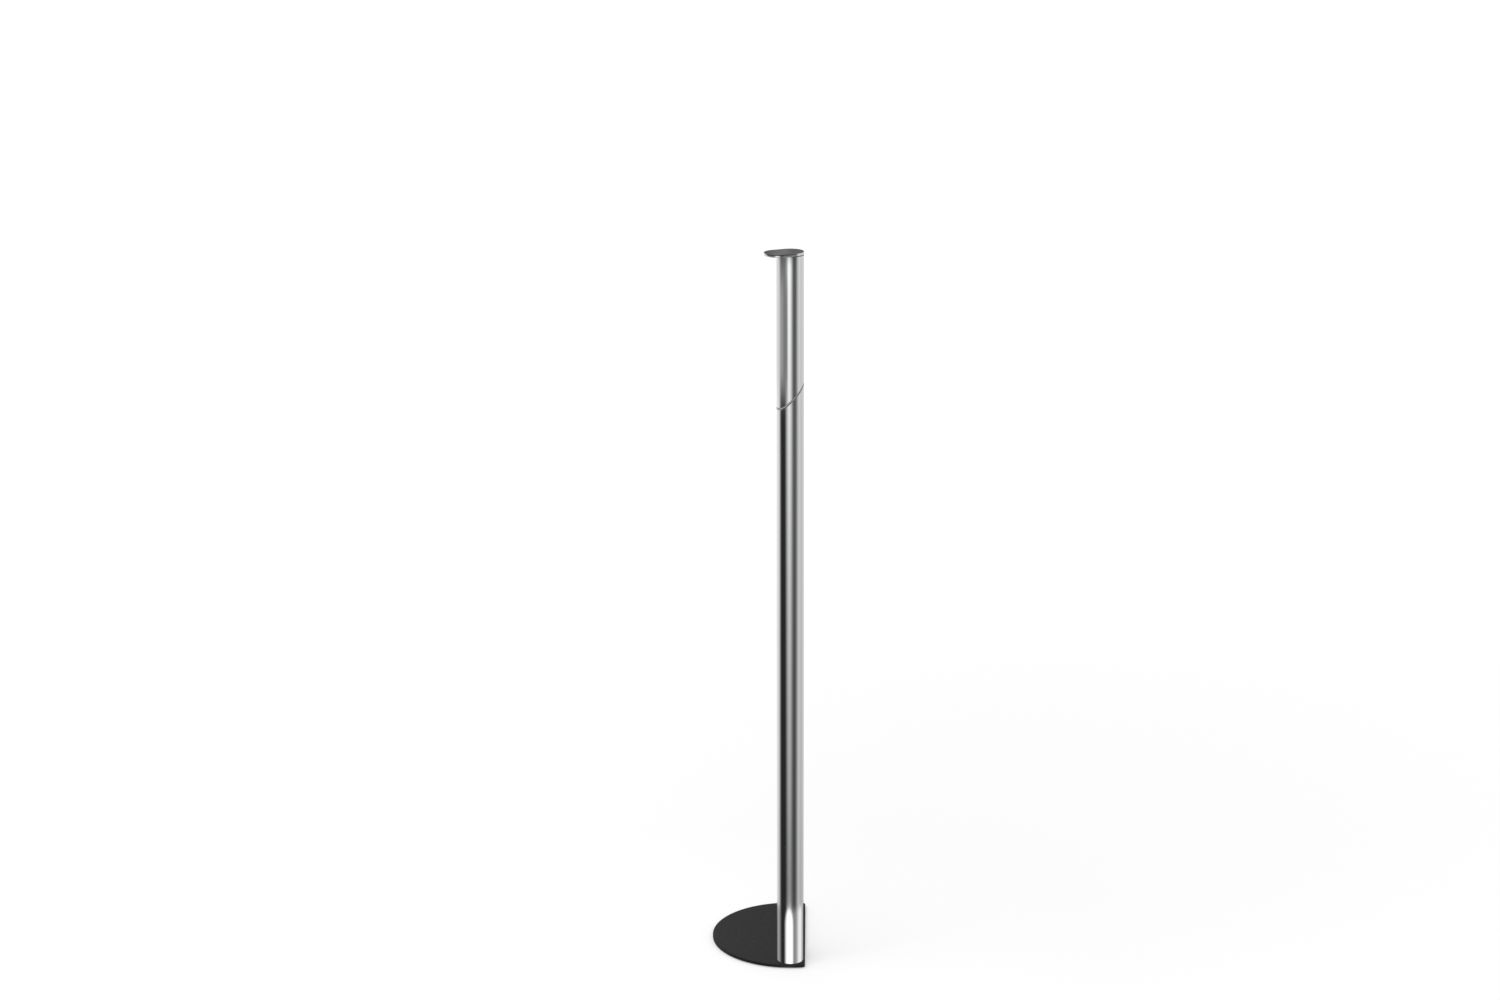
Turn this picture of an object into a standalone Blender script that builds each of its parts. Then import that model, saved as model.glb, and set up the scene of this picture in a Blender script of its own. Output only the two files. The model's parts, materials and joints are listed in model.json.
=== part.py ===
"""Freestanding toilet paper holder: a polished post on a flat plate, with an arm that swivels down to load a roll.

Metres, +Z up. The origin is the centre of the plate's round edge, on the floor. The post and the arm are one tube
cut by a slanted seam. The arm turns on a bolt that stands square to the seam, so half a turn lays it level.
"""
import math

import bmesh
import bpy
from mathutils import Matrix

# Fits and cuts
FIT_GAP = 0.0003
CUT_OVERRUN = 0.002
MERGE_DISTANCE = 0.000001

# Tube of the post and the arm
TUBE_DIAMETER = 0.025
TUBE_WALL = 0.0012
SEAM_HEIGHT = 0.547
ARM_LENGTH = 0.130

# Seam between post and arm: its slant, and the heading of the level arm, counted from +X
SEAM_SLANT = math.radians(45)
ARM_HEADING = math.radians(206)
SEAM_WASHER_THICKNESS = 0.0006
SEAM_WASHER_INSET = 0.0001

# Plate and the pad under it
PLATE_RADIUS = 0.075
PLATE_THICKNESS = 0.003
PLATE_EDGE_ROUND = 0.0006
PLATE_CORNER_ROUND = 0.003
POST_MARGIN = 0.0015
PAD_THICKNESS = 0.0005
PAD_INSET = 0.0025
PAD_HOLE_MARGIN = 0.0015

# Plug in the post's foot, with the screw and the dowel that hold it to the plate
FOOT_PLUG_LENGTH = 0.022
PLUG_CHAMFER = 0.0008
BASE_SCREW_DIAMETER = 0.005
BASE_SCREW_HEAD_DIAMETER = 0.0093
BASE_SCREW_HEAD_LAND = 0.0003
BASE_SCREW_LENGTH = 0.020
BASE_SCREW_KEY = 0.003
BASE_SCREW_KEY_DEPTH = 0.0018
BASE_DOWEL_DIAMETER = 0.003
BASE_DOWEL_LENGTH = 0.008
BASE_DOWEL_SUNK = 0.0018
BASE_DOWEL_OFFSET = 0.0083

# Mitre plugs that carry the swivel, and the grub screws that lock them in the tubes
MITRE_PLUG_REACH = 0.034
GRUB_SCREW_DIAMETER = 0.004
GRUB_SCREW_LENGTH = 0.006
GRUB_SCREW_KEY = 0.002
GRUB_SCREW_KEY_DEPTH = 0.002
GRUB_SCREW_END_MARGIN = 0.008

# Swivel bolt and its disc springs, along the swivel axis
BOLT_SHOULDER_DIAMETER = 0.006
BOLT_SHOULDER_SUNK = 0.0032
BOLT_THREAD_DIAMETER = 0.005
BOLT_THREAD_LENGTH = 0.007
BOLT_HEAD_DIAMETER = 0.009
BOLT_HEAD_HEIGHT = 0.0026
BOLT_KEY = 0.003
BOLT_KEY_DEPTH = 0.0015
BOLT_SEAT_THICKNESS = 0.0048
DISC_SPRING_THICKNESS = 0.0004
DISC_SPRING_CONE = 0.0002

# Stop pin in the post's plug and its groove in the arm's plug
STOP_PIN_DIAMETER = 0.0025
STOP_PIN_OFFSET = 0.008
STOP_PIN_SUNK = 0.0045
STOP_PIN_STANDS = 0.0014
STOP_PIN_HEADING = math.radians(-90)
SWIVEL_RANGE = math.radians(180)

# End cap with its lip on one side, its plug, screw and dowel
CAP_LIP_REACH = 0.012
CAP_THICKNESS = 0.003
CAP_EDGE_ROUND = 0.0006
CAP_BOSS_DIAMETER = 0.012
CAP_BOSS_LENGTH = 0.005
END_PLUG_LENGTH = 0.012
CAP_SCREW_DIAMETER = 0.004
CAP_SCREW_LENGTH = 0.012
CAP_SCREW_HEAD_DIAMETER = 0.008
CAP_SCREW_HEAD_HEIGHT = 0.0026
CAP_SCREW_KEY = 0.0025
CAP_SCREW_KEY_DEPTH = 0.0014
CAP_DOWEL_DIAMETER = 0.0025
CAP_DOWEL_LENGTH = 0.006
CAP_DOWEL_SUNK = 0.0012
CAP_DOWEL_OFFSET = 0.0086

# Facets of a full turn
TUBE_FACETS = 96
SMALL_FACETS = 32
HEX_FACETS = 6
ROUND_FACETS = 3

# Sizes that follow from those above
TUBE_RADIUS = TUBE_DIAMETER / 2
BORE_RADIUS = TUBE_RADIUS - TUBE_WALL
PLUG_RADIUS = BORE_RADIUS - FIT_GAP
PLATE_BOTTOM = PAD_THICKNESS + FIT_GAP
PLATE_TOP = PLATE_BOTTOM + PLATE_THICKNESS
PLATE_STRAIGHT_SIDE = TUBE_RADIUS + POST_MARGIN
POST_Y = PLATE_STRAIGHT_SIDE - PLATE_RADIUS
SEAM_HALF = SEAM_WASHER_THICKNESS / 2 + FIT_GAP
SEAM_RISE = TUBE_RADIUS * math.tan(SEAM_SLANT)
BACK_HEADING = ARM_HEADING + math.pi
ARM_TUBE_END = ARM_LENGTH - CAP_THICKNESS - FIT_GAP
GRUB_SCREW_REACH = MITRE_PLUG_REACH - GRUB_SCREW_END_MARGIN
BOLT_SEAT = SEAM_HALF + BOLT_SEAT_THICKNESS
SPRING_HEIGHT = DISC_SPRING_THICKNESS + DISC_SPRING_CONE
LOWER_SPRING = BOLT_SEAT + FIT_GAP
UPPER_SPRING = LOWER_SPRING + SPRING_HEIGHT + FIT_GAP
BOLT_HEAD = UPPER_SPRING + SPRING_HEIGHT + FIT_GAP
BOLT_STEP = SEAM_HALF + BOLT_SHOULDER_SUNK
BOLT_END = BOLT_STEP + BOLT_THREAD_LENGTH
STOP_PIN_TOP = SEAM_HALF + STOP_PIN_STANDS

# Finishes: colour, roughness, metallic
POLISHED_STEEL = ("D2D3D4", 0.08, 1.0)
BLACK_POWDER_COAT = ("343434", 0.6, 0.0)
BLACK_RUBBER = ("1E1E1E", 0.85, 0.0)
GREY_ACETAL = ("8C8C8C", 0.5, 0.0)
TURNED_STEEL = ("A9ABAD", 0.35, 1.0)
BLACK_OXIDE_STEEL = ("2B2B2D", 0.45, 0.8)
SPRING_STEEL = ("6F7478", 0.4, 1.0)


def clear_scene():
    """Empties the scene."""
    for old in list(bpy.data.objects):
        bpy.data.objects.remove(old, do_unlink=True)


def linear_colour(code):
    """Linear red, green, blue and alpha of a hex sRGB colour."""
    shares = [int(code[place:place + 2], 16) / 255 for place in (0, 2, 4)]
    return [((share + 0.055) / 1.055) ** 2.4 if share > 0.04045 else share / 12.92 for share in shares] + [1.0]


def add_material(name, finish):
    """Plain finish of one piece."""
    code, roughness, metallic = finish
    material = bpy.data.materials.new(name)
    material.use_nodes = True
    shader = material.node_tree.nodes["Principled BSDF"]
    shader.inputs["Base Color"].default_value = linear_colour(code)
    shader.inputs["Roughness"].default_value = roughness
    shader.inputs["Metallic"].default_value = metallic
    return material


def add_frame(name, parent=None, at=(0, 0, 0), turn=(0, 0, 0)):
    """Empty that carries pieces."""
    frame = bpy.data.objects.new(name, None)
    bpy.context.scene.collection.objects.link(frame)
    frame.parent = parent
    frame.location = at
    frame.rotation_euler = turn
    return frame


def add_solid(name, shape, parent=None, at=(0, 0, 0), turn=(0, 0, 0)):
    """Object made from a bmesh, which this frees."""
    mesh = bpy.data.meshes.new(name)
    shape.to_mesh(mesh)
    shape.free()
    mesh.shade_smooth()
    mesh.set_sharp_from_angle(angle=math.radians(30))
    solid = bpy.data.objects.new(name, mesh)
    bpy.context.scene.collection.objects.link(solid)
    solid.parent = parent
    solid.location = at
    solid.rotation_euler = turn
    return solid


def add_piece(name, shape, finish, parent=None, at=(0, 0, 0), turn=(0, 0, 0)):
    """Physical piece with its own finish."""
    piece = add_solid(name, shape, parent, at, turn)
    piece.data.materials.append(add_material(name + "_finish", finish))
    return piece


def add_cutter(name, shape, parent=None, at=(0, 0, 0), turn=(0, 0, 0)):
    """Shape that only cuts or extends a piece."""
    cutter = add_solid(name, shape, parent, at, turn)
    cutter.hide_render = True
    cutter.display_type = "WIRE"
    return cutter


def combine(piece, cutter, operation):
    """Boolean of a piece with a cutter."""
    modifier = piece.modifiers.new(cutter.name, "BOOLEAN")
    modifier.operation = operation
    modifier.solver = "EXACT"
    modifier.object = cutter


def cut(piece, *cutters):
    """Takes cutters out of a piece."""
    for cutter in cutters:
        combine(piece, cutter, "DIFFERENCE")


def turned(profile, facets):
    """Solid of revolution about Z from (radius, height) points; it closes on the axis or on itself."""
    shape = bmesh.new()
    points = [shape.verts.new((radius, 0, height)) for radius, height in profile]
    edges = [shape.edges.new(pair) for pair in zip(points, points[1:])]
    if profile[0][0] > 0:
        edges.append(shape.edges.new((points[-1], points[0])))
    bmesh.ops.spin(shape, geom=points + edges, cent=(0, 0, 0), axis=(0, 0, 1), angle=math.tau, steps=facets)
    bmesh.ops.remove_doubles(shape, verts=shape.verts, dist=MERGE_DISTANCE)
    bmesh.ops.recalc_face_normals(shape, faces=shape.faces)
    return shape


def rod(radius, low, high, facets=SMALL_FACETS):
    """Plain cylinder along Z."""
    return turned([(0, low), (radius, low), (radius, high), (0, high)], facets)


def hexagon_rod(across_flats, low, high):
    """Hexagonal bar along Z."""
    return rod(across_flats / 2 / math.cos(math.pi / HEX_FACETS), low, high, HEX_FACETS)


def pipe(outer, inner, low, high, facets=TUBE_FACETS):
    """Hollow cylinder along Z."""
    return turned([(outer, low), (outer, high), (inner, high), (inner, low)], facets)


def prism(outline, low, high):
    """Upright solid on a flat outline."""
    shape = bmesh.new()
    base = shape.faces.new([shape.verts.new((x, y, low)) for x, y in outline])
    grown = bmesh.ops.extrude_face_region(shape, geom=[base])["geom"]
    lifted = [item for item in grown if isinstance(item, bmesh.types.BMVert)]
    bmesh.ops.translate(shape, verts=lifted, vec=(0, 0, high - low))
    bmesh.ops.recalc_face_normals(shape, faces=shape.faces)
    return shape


def arc(centre, radius, start, end, facets):
    """Points along an arc, from start to end."""
    angles = [start + (end - start) * step / facets for step in range(facets + 1)]
    return [(centre[0] + radius * math.cos(a), centre[1] + radius * math.sin(a)) for a in angles]


def plate_outline(inset):
    """Disc with one straight side, and a small round at both corners."""
    corner_x = PLATE_STRAIGHT_SIDE - PLATE_CORNER_ROUND
    corner_y = math.sqrt((PLATE_RADIUS - PLATE_CORNER_ROUND) ** 2 - corner_x ** 2)
    heading = math.atan2(corner_y, corner_x)
    radius = PLATE_CORNER_ROUND - inset
    points = arc((corner_x, -corner_y), radius, -heading, 0, SMALL_FACETS // 4)
    points += arc((corner_x, corner_y), radius, 0, heading, SMALL_FACETS // 4)
    rim = arc((0, 0), PLATE_RADIUS - inset, heading, math.tau - heading, TUBE_FACETS)
    return points + rim[1:-1]


def round_edges(piece, width):
    """Rounds the edges of a flat piece, above and below."""
    bevel = piece.modifiers.new("edge_round", "BEVEL")
    bevel.width = width
    bevel.segments = ROUND_FACETS
    bevel.limit_method = "ANGLE"
    bevel.angle_limit = math.radians(60)


def seam_block(name, parent, low, high):
    """Block across the tube, from low to high along the swivel axis."""
    reach = 2 * TUBE_DIAMETER
    corners = [(-reach, -reach), (reach, -reach), (reach, reach), (-reach, reach)]
    return add_cutter(name, prism(corners, low, high), parent)


def screw_shape(radius, low, high, key, key_depth, name, parent, finish, **placing):
    """Plain threaded rod with a hexagon socket in its high end."""
    piece = add_piece(name, rod(radius, low, high), finish, parent, **placing)
    socket = hexagon_rod(key, high - key_depth, high + CUT_OVERRUN)
    cut(piece, add_cutter(name + "_socket_cut", socket, parent, **placing))
    return piece


def make_plate(post_frame):
    """Plate with the countersunk screw hole and the dowel hole under the post."""
    plate = add_piece("base_plate", prism(plate_outline(0), PLATE_BOTTOM, PLATE_TOP), BLACK_POWDER_COAT)
    round_edges(plate, PLATE_EDGE_ROUND)

    slant_gap = FIT_GAP * math.sqrt(2)
    head = BASE_SCREW_HEAD_DIAMETER / 2 + slant_gap
    shank = BASE_SCREW_DIAMETER / 2 + slant_gap
    cone_start = -PLATE_THICKNESS + FIT_GAP + BASE_SCREW_HEAD_LAND
    cone_end = cone_start + head - shank
    profile = [
        (0, -PLATE_THICKNESS - CUT_OVERRUN),
        (head, -PLATE_THICKNESS - CUT_OVERRUN),
        (head, cone_start),
        (shank, cone_end),
        (shank, CUT_OVERRUN),
        (0, CUT_OVERRUN),
    ]
    screw_hole = add_cutter("base_screw_hole_cut", turned(profile, SMALL_FACETS), post_frame)
    dowel_hole = rod(BASE_DOWEL_DIAMETER / 2 + FIT_GAP, -BASE_DOWEL_SUNK - FIT_GAP, CUT_OVERRUN)
    dowel_cut = add_cutter("base_dowel_hole_cut", dowel_hole, post_frame, at=(0, BASE_DOWEL_OFFSET, 0))
    cut(plate, screw_hole, dowel_cut)


def make_pad(post_frame):
    """Anti-slip sheet under the plate, open round the screw."""
    pad = add_piece("anti_slip_pad", prism(plate_outline(PAD_INSET), 0, PAD_THICKNESS), BLACK_RUBBER)
    opening = rod(BASE_SCREW_HEAD_DIAMETER / 2 + PAD_HOLE_MARGIN, -PLATE_TOP - CUT_OVERRUN, -PLATE_THICKNESS)
    cut(pad, add_cutter("pad_hole_cut", opening, post_frame))


def make_base_screw(post_frame):
    """Countersunk screw, put in from below."""
    low = -PLATE_THICKNESS + FIT_GAP
    head = BASE_SCREW_HEAD_DIAMETER / 2
    shank = BASE_SCREW_DIAMETER / 2
    cone_start = low + BASE_SCREW_HEAD_LAND
    profile = [
        (0, low),
        (head, low),
        (head, cone_start),
        (shank, cone_start + head - shank),
        (shank, low + BASE_SCREW_LENGTH),
        (0, low + BASE_SCREW_LENGTH),
    ]
    screw = add_piece("base_screw", turned(profile, SMALL_FACETS), BLACK_OXIDE_STEEL, post_frame)
    socket = hexagon_rod(BASE_SCREW_KEY, low - CUT_OVERRUN, low + BASE_SCREW_KEY_DEPTH)
    cut(screw, add_cutter("base_screw_socket_cut", socket, post_frame))


def make_foot_plug(post_frame):
    """Tapped plug in the post's foot, with the dowel that keeps the post from turning on the plate."""
    low = FIT_GAP
    high = low + FOOT_PLUG_LENGTH
    profile = [
        (BASE_SCREW_DIAMETER / 2 + FIT_GAP, low),
        (PLUG_RADIUS, low),
        (PLUG_RADIUS, high - PLUG_CHAMFER),
        (PLUG_RADIUS - PLUG_CHAMFER, high),
        (BASE_SCREW_DIAMETER / 2 + FIT_GAP, high),
    ]
    plug = add_piece("post_foot_plug", turned(profile, SMALL_FACETS * 2), TURNED_STEEL, post_frame)
    dowel_top = BASE_DOWEL_LENGTH - BASE_DOWEL_SUNK
    dowel_hole = rod(BASE_DOWEL_DIAMETER / 2 + FIT_GAP, -CUT_OVERRUN, dowel_top + FIT_GAP)
    cut(plug, add_cutter("foot_plug_dowel_cut", dowel_hole, post_frame, at=(0, BASE_DOWEL_OFFSET, 0)))
    dowel = rod(BASE_DOWEL_DIAMETER / 2, -BASE_DOWEL_SUNK, dowel_top)
    add_piece("base_dowel", dowel, TURNED_STEEL, post_frame, at=(0, BASE_DOWEL_OFFSET, 0))


def grub_screw(name, parent, height, hosts):
    """Grub screw through the back of a tube into its plug, with the hole that it needs in both."""
    placing = {"at": (0, 0, height), "turn": (0, math.pi / 2, BACK_HEADING)}
    high = TUBE_RADIUS - FIT_GAP
    low = high - GRUB_SCREW_LENGTH
    screw_shape(GRUB_SCREW_DIAMETER / 2, low, high, GRUB_SCREW_KEY, GRUB_SCREW_KEY_DEPTH, name, parent,
                BLACK_OXIDE_STEEL, **placing)
    hole = rod(GRUB_SCREW_DIAMETER / 2 + FIT_GAP, low - FIT_GAP, TUBE_RADIUS + CUT_OVERRUN)
    hole_cut = add_cutter(name + "_hole_cut", hole, parent, **placing)
    for host in hosts:
        cut(host, hole_cut)


def make_post(post_frame, seam_frame, swivel_frame):
    """Post tube and the plug at its mitred top."""
    low = FIT_GAP - SEAM_HEIGHT
    above_seam = seam_block("post_seam_cut", swivel_frame, -SEAM_HALF, 2 * TUBE_DIAMETER)
    tube = pipe(TUBE_RADIUS, BORE_RADIUS, low, SEAM_RISE + CUT_OVERRUN)
    post = add_piece("post_tube", tube, POLISHED_STEEL, seam_frame)
    plug_stock = rod(PLUG_RADIUS, -MITRE_PLUG_REACH, SEAM_RISE + CUT_OVERRUN, SMALL_FACETS * 2)
    plug = add_piece("lower_mitre_plug", plug_stock, TURNED_STEEL, seam_frame)
    cut(post, above_seam)
    cut(plug, above_seam)

    thread = BOLT_THREAD_DIAMETER / 2 + FIT_GAP
    shoulder = BOLT_SHOULDER_DIAMETER / 2 + FIT_GAP
    profile = [
        (0, -BOLT_END - FIT_GAP),
        (thread, -BOLT_END - FIT_GAP),
        (thread, -BOLT_STEP - FIT_GAP),
        (shoulder, -BOLT_STEP - FIT_GAP),
        (shoulder, CUT_OVERRUN),
        (0, CUT_OVERRUN),
    ]
    bolt_hole = add_cutter("lower_bolt_hole_cut", turned(profile, SMALL_FACETS), swivel_frame)
    pin_hole = rod(STOP_PIN_DIAMETER / 2 + FIT_GAP, -SEAM_HALF - STOP_PIN_SUNK - FIT_GAP, CUT_OVERRUN)
    pin_cut = add_cutter("lower_pin_hole_cut", pin_hole, swivel_frame, at=stop_pin_place())
    cut(plug, bolt_hole, pin_cut)
    grub_screw("post_grub_screw", seam_frame, -GRUB_SCREW_REACH, [post, plug])


def stop_pin_place():
    """Place of the stop pin, in the seam's own plane."""
    return (STOP_PIN_OFFSET * math.cos(STOP_PIN_HEADING), STOP_PIN_OFFSET * math.sin(STOP_PIN_HEADING), 0)


def make_seam_washer(seam_frame, swivel_frame):
    """Thin slanted slice between the two tubes, with holes for the bolt and the stop pin."""
    stock = rod(TUBE_RADIUS - SEAM_WASHER_INSET, -SEAM_RISE - CUT_OVERRUN, SEAM_RISE + CUT_OVERRUN, TUBE_FACETS)
    washer = add_piece("seam_washer", stock, GREY_ACETAL, seam_frame)
    half = SEAM_WASHER_THICKNESS / 2
    cut(washer, seam_block("washer_upper_cut", swivel_frame, half, 2 * TUBE_DIAMETER))
    cut(washer, seam_block("washer_lower_cut", swivel_frame, -2 * TUBE_DIAMETER, -half))
    bolt_hole = rod(BOLT_SHOULDER_DIAMETER / 2 + FIT_GAP, -CUT_OVERRUN, CUT_OVERRUN)
    pin_hole = rod(STOP_PIN_DIAMETER / 2 + FIT_GAP, -CUT_OVERRUN, CUT_OVERRUN)
    cut(washer, add_cutter("washer_bolt_cut", bolt_hole, swivel_frame))
    cut(washer, add_cutter("washer_pin_cut", pin_hole, swivel_frame, at=stop_pin_place()))


def make_swivel_bolt(swivel_frame):
    """Shoulder bolt that the arm turns on, screwed into the post's plug."""
    thread = BOLT_THREAD_DIAMETER / 2
    shoulder = BOLT_SHOULDER_DIAMETER / 2
    head = BOLT_HEAD_DIAMETER / 2
    high = BOLT_HEAD + BOLT_HEAD_HEIGHT
    profile = [
        (0, -BOLT_END),
        (thread, -BOLT_END),
        (thread, -BOLT_STEP),
        (shoulder, -BOLT_STEP),
        (shoulder, BOLT_HEAD),
        (head, BOLT_HEAD),
        (head, high),
        (0, high),
    ]
    bolt = add_piece("swivel_bolt", turned(profile, SMALL_FACETS), TURNED_STEEL, swivel_frame)
    socket = hexagon_rod(BOLT_KEY, high - BOLT_KEY_DEPTH, high + CUT_OVERRUN)
    cut(bolt, add_cutter("swivel_bolt_socket_cut", socket, swivel_frame))


def make_disc_springs(swivel_frame):
    """Two coned washers, rim to rim, that press the arm on the seam washer."""
    inner = BOLT_SHOULDER_DIAMETER / 2 + FIT_GAP
    outer = BOLT_HEAD_DIAMETER / 2
    places = (("disc_spring_lower", LOWER_SPRING, 0, DISC_SPRING_CONE),
              ("disc_spring_upper", UPPER_SPRING, DISC_SPRING_CONE, 0))
    for name, height, inner_rise, outer_rise in places:
        profile = [
            (outer, height + outer_rise),
            (outer, height + outer_rise + DISC_SPRING_THICKNESS),
            (inner, height + inner_rise + DISC_SPRING_THICKNESS),
            (inner, height + inner_rise),
        ]
        add_piece(name, turned(profile, SMALL_FACETS), SPRING_STEEL, swivel_frame)


def make_stop_pin(swivel_frame):
    """Pin that stands in the post's plug and ends the arm's travel."""
    pin = rod(STOP_PIN_DIAMETER / 2, -SEAM_HALF - STOP_PIN_SUNK, STOP_PIN_TOP, SMALL_FACETS // 2)
    add_piece("stop_pin", pin, TURNED_STEEL, swivel_frame, at=stop_pin_place())


def stop_groove_outline():
    """Curved slot that the stop pin runs in: it trails the pin by the arm's whole travel."""
    half = STOP_PIN_DIAMETER / 2 + FIT_GAP
    start = STOP_PIN_HEADING - SWIVEL_RANGE
    end = STOP_PIN_HEADING
    tip = stop_pin_place()[:2]
    tail = (STOP_PIN_OFFSET * math.cos(start), STOP_PIN_OFFSET * math.sin(start))
    outer = arc((0, 0), STOP_PIN_OFFSET + half, start, end, SMALL_FACETS)
    tip_round = arc(tip, half, end, end + math.pi, SMALL_FACETS // 2)
    inner = arc((0, 0), STOP_PIN_OFFSET - half, end, start, SMALL_FACETS)
    tail_round = arc(tail, half, start + math.pi, start + math.tau, SMALL_FACETS // 2)
    return outer[:-1] + tip_round[:-1] + inner[:-1] + tail_round[:-1]


def make_arm(arm_frame, arm_swivel):
    """Arm tube and the plug at its mitred end, bored for the bolt and grooved for the stop pin."""
    below_seam = seam_block("arm_seam_cut", arm_swivel, -2 * TUBE_DIAMETER, SEAM_HALF)
    tube = pipe(TUBE_RADIUS, BORE_RADIUS, -SEAM_RISE - CUT_OVERRUN, ARM_TUBE_END)
    arm = add_piece("arm_tube", tube, POLISHED_STEEL, arm_frame)
    plug_stock = rod(PLUG_RADIUS, -SEAM_RISE - CUT_OVERRUN, MITRE_PLUG_REACH, SMALL_FACETS * 2)
    plug = add_piece("upper_mitre_plug", plug_stock, TURNED_STEEL, arm_frame)
    cut(arm, below_seam)
    cut(plug, below_seam)

    shoulder = BOLT_SHOULDER_DIAMETER / 2 + FIT_GAP
    head = BOLT_HEAD_DIAMETER / 2 + FIT_GAP
    profile = [
        (0, -CUT_OVERRUN),
        (shoulder, -CUT_OVERRUN),
        (shoulder, BOLT_SEAT),
        (head, BOLT_SEAT),
        (head, TUBE_DIAMETER),
        (0, TUBE_DIAMETER),
    ]
    bolt_hole = add_cutter("upper_bolt_hole_cut", turned(profile, SMALL_FACETS), arm_swivel)
    groove = prism(stop_groove_outline(), -CUT_OVERRUN, STOP_PIN_TOP + FIT_GAP)
    cut(plug, bolt_hole, add_cutter("stop_groove_cut", groove, arm_swivel))
    grub_screw("arm_grub_screw", arm_frame, GRUB_SCREW_REACH, [arm, plug])


def make_end_plug(arm_frame):
    """Plug in the arm's open end, with a seat for the cap's boss and a dowel."""
    low = ARM_TUBE_END - END_PLUG_LENGTH
    seat = ARM_TUBE_END + FIT_GAP - CAP_BOSS_LENGTH - FIT_GAP
    bore = CAP_SCREW_DIAMETER / 2 + FIT_GAP
    recess = CAP_BOSS_DIAMETER / 2 + FIT_GAP
    profile = [
        (bore, low),
        (PLUG_RADIUS - PLUG_CHAMFER, low),
        (PLUG_RADIUS, low + PLUG_CHAMFER),
        (PLUG_RADIUS, ARM_TUBE_END),
        (recess, ARM_TUBE_END),
        (recess, seat),
        (bore, seat),
    ]
    plug = add_piece("arm_end_plug", turned(profile, SMALL_FACETS * 2), TURNED_STEEL, arm_frame)
    dowel_top = ARM_TUBE_END + FIT_GAP + CAP_DOWEL_SUNK
    dowel_low = dowel_top - CAP_DOWEL_LENGTH
    hole = rod(CAP_DOWEL_DIAMETER / 2 + FIT_GAP, dowel_low - FIT_GAP, dowel_top + FIT_GAP, SMALL_FACETS // 2)
    hole_cut = add_cutter("cap_dowel_hole_cut", hole, arm_frame, at=cap_dowel_place())
    cut(plug, hole_cut)
    dowel = rod(CAP_DOWEL_DIAMETER / 2, dowel_low, dowel_top, SMALL_FACETS // 2)
    add_piece("cap_dowel", dowel, TURNED_STEEL, arm_frame, at=cap_dowel_place())
    return hole_cut


def cap_dowel_place():
    """Place of the cap's dowel, on the back of the arm's axis."""
    return (CAP_DOWEL_OFFSET * math.cos(BACK_HEADING), CAP_DOWEL_OFFSET * math.sin(BACK_HEADING), 0)


def cap_outline():
    """Obround as wide as the tube: one end follows the tube, the other is the lip, towards +X."""
    tube_end = arc((0, 0), TUBE_RADIUS, math.pi / 2, 3 * math.pi / 2, SMALL_FACETS)
    lip_end = arc((CAP_LIP_REACH, 0), TUBE_RADIUS, -math.pi / 2, math.pi / 2, SMALL_FACETS)
    return tube_end + lip_end


def make_cap(arm_frame, dowel_hole_cut):
    """Cap whose lip keeps the roll on, with a boss on the arm's axis, and its screw from inside."""
    low = ARM_TUBE_END + FIT_GAP
    turn = (0, 0, ARM_HEADING)
    cap = add_piece("end_cap", prism(cap_outline(), low, ARM_LENGTH), POLISHED_STEEL, arm_frame, turn=turn)
    round_edges(cap, CAP_EDGE_ROUND)
    boss_end = low - CAP_BOSS_LENGTH
    boss = rod(CAP_BOSS_DIAMETER / 2, boss_end, low + CAP_THICKNESS / 2)
    combine(cap, add_cutter("cap_boss_join", boss, arm_frame), "UNION")

    head_top = ARM_TUBE_END - END_PLUG_LENGTH - FIT_GAP
    tip = head_top + CAP_SCREW_LENGTH
    screw_hole = rod(CAP_SCREW_DIAMETER / 2 + FIT_GAP, boss_end - CUT_OVERRUN, tip + FIT_GAP)
    cut(cap, add_cutter("cap_screw_hole_cut", screw_hole, arm_frame), dowel_hole_cut)

    head_low = head_top - CAP_SCREW_HEAD_HEIGHT
    profile = [
        (0, head_low),
        (CAP_SCREW_HEAD_DIAMETER / 2, head_low),
        (CAP_SCREW_HEAD_DIAMETER / 2, head_top),
        (CAP_SCREW_DIAMETER / 2, head_top),
        (CAP_SCREW_DIAMETER / 2, tip),
        (0, tip),
    ]
    screw = add_piece("cap_screw", turned(profile, SMALL_FACETS), BLACK_OXIDE_STEEL, arm_frame)
    socket = hexagon_rod(CAP_SCREW_KEY, head_low - CUT_OVERRUN, head_low + CAP_SCREW_KEY_DEPTH)
    cut(screw, add_cutter("cap_screw_socket_cut", socket, arm_frame))


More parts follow.
